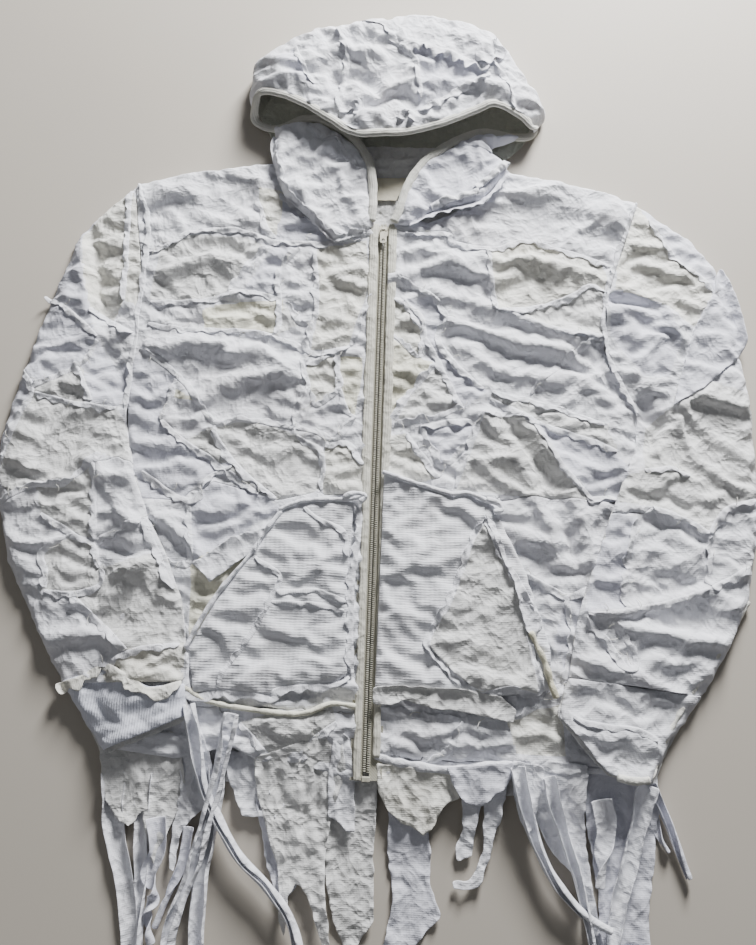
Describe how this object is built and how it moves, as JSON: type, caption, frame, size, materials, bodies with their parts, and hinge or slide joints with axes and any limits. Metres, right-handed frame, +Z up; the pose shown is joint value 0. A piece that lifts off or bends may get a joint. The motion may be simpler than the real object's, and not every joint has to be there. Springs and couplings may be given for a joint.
{
  "type": "hooded patchwork camouflage jacket",
  "caption": "Zip-front hooded camouflage jacket pieced from torn white jersey, with patch pockets and a ragged fringe below the hem, lying flat on its back.",
  "frame": {"origin": "on the ground under the middle of the whole jacket as it lies on its back", "axes": "+Z up from the ground, +Y from the fringe to the hood, +X to the viewer's right (the wearer's left)"},
  "size_m": [0.856, 1.1443, 0.054],
  "materials": {
    "jersey": "washed white cotton jersey with raw curled edges",
    "lavender_jersey": "thin smooth jersey with a faint lavender cast",
    "fleece": "brushed sweatshirt fleece, ivory white",
    "grey_rib": "aged grey-cream rib knit",
    "aged_rib": "ecru rib knit, stained by age",
    "zip_tape": "woven zip tape",
    "zip_plastic": "moulded zip teeth and end box",
    "enamelled_zinc": "cream enamel over cast zinc, chipped at the edges",
    "label_cloth": "plain woven cotton tape, blank",
    "stiff_cream_edge": "stiffened cream binding"
  },
  "bodies": {
    "jacket": {"back_panel": "jersey", "chest_patches_left": "jersey", "chest_patches_right": "jersey", "collar_casing": "lavender_jersey", "collar_left": "lavender_jersey", "collar_right": "lavender_jersey", "cuff_left": "jersey", "cuff_right": "fleece", "fringe_centre_tails": "jersey", "fringe_cone": "jersey", "fringe_frayed_bunch": "jersey", "fringe_gathered_tail": "jersey", "fringe_left_drawn_strip": "jersey", "fringe_left_roll": "jersey", "fringe_left_strips": "jersey", "fringe_left_tails": "jersey", "fringe_right_roll": "jersey", "fringe_right_strips": "jersey", "fringe_right_tail": "jersey", "fringe_short_strips": "jersey", "front_left_panel": "jersey", "front_right_panel": "jersey", "hem_band_back": "jersey", "hem_band_left": "jersey", "hem_band_right": "jersey", "neck_facing": "grey_rib", "neck_label": "label_cloth", "placket_left": "aged_rib", "placket_right": "aged_rib", "pocket_left": "fleece", "pocket_left_hem_welt": "grey_rib", "pocket_left_torn_strip": "jersey", "pocket_left_welt": "jersey", "pocket_right": "fleece", "pocket_right_band": "jersey", "pocket_right_rolled_edge": "stiff_cream_edge", "pocket_right_torn_patch": "fleece", "sleeve_left_lower": "jersey", "sleeve_left_patches": "jersey", "sleeve_left_upper": "jersey", "sleeve_right_lower": "fleece", "sleeve_right_patches": "jersey", "sleeve_right_upper": "jersey", "yoke_left": "jersey", "yoke_right": "lavender_jersey", "zip_coil_left": "zip_plastic", "zip_coil_right": "zip_plastic", "zip_insertion_pin": "zip_plastic", "zip_retainer_box": "zip_plastic", "zip_tape_left": "zip_tape", "zip_tape_right": "zip_tape", "zip_top_stops": "zip_plastic"},
    "hood": {"hood_back_panel": "jersey", "hood_crown_panel": "fleece", "hood_edge_binding": "grey_rib", "hood_left_panel": "fleece", "hood_raw_flaps": "jersey", "hood_right_panel": "jersey"},
    "slider": {"zip_slider": "enamelled_zinc"},
    "pull": {"zip_pull": "enamelled_zinc"}
  },
  "joints": [
    {"name": "slider_slide", "type": "slide", "parent": "jacket", "child": "slider", "axis": [0, 1, 0], "range_m": [-0.6, 0]},
    {"name": "pull_swing", "type": "hinge", "parent": "slider", "child": "pull", "pos_m": [0, 0.279, 0.0192], "axis": [-1, 0, 0], "range_deg": [0, 180]},
    {"name": "hood_fold", "type": "hinge", "parent": "jacket", "child": "hood", "pos_m": [0, 0.403, 0.003], "axis": [1, 0, 0], "range_deg": [0, 90]}
  ]
}
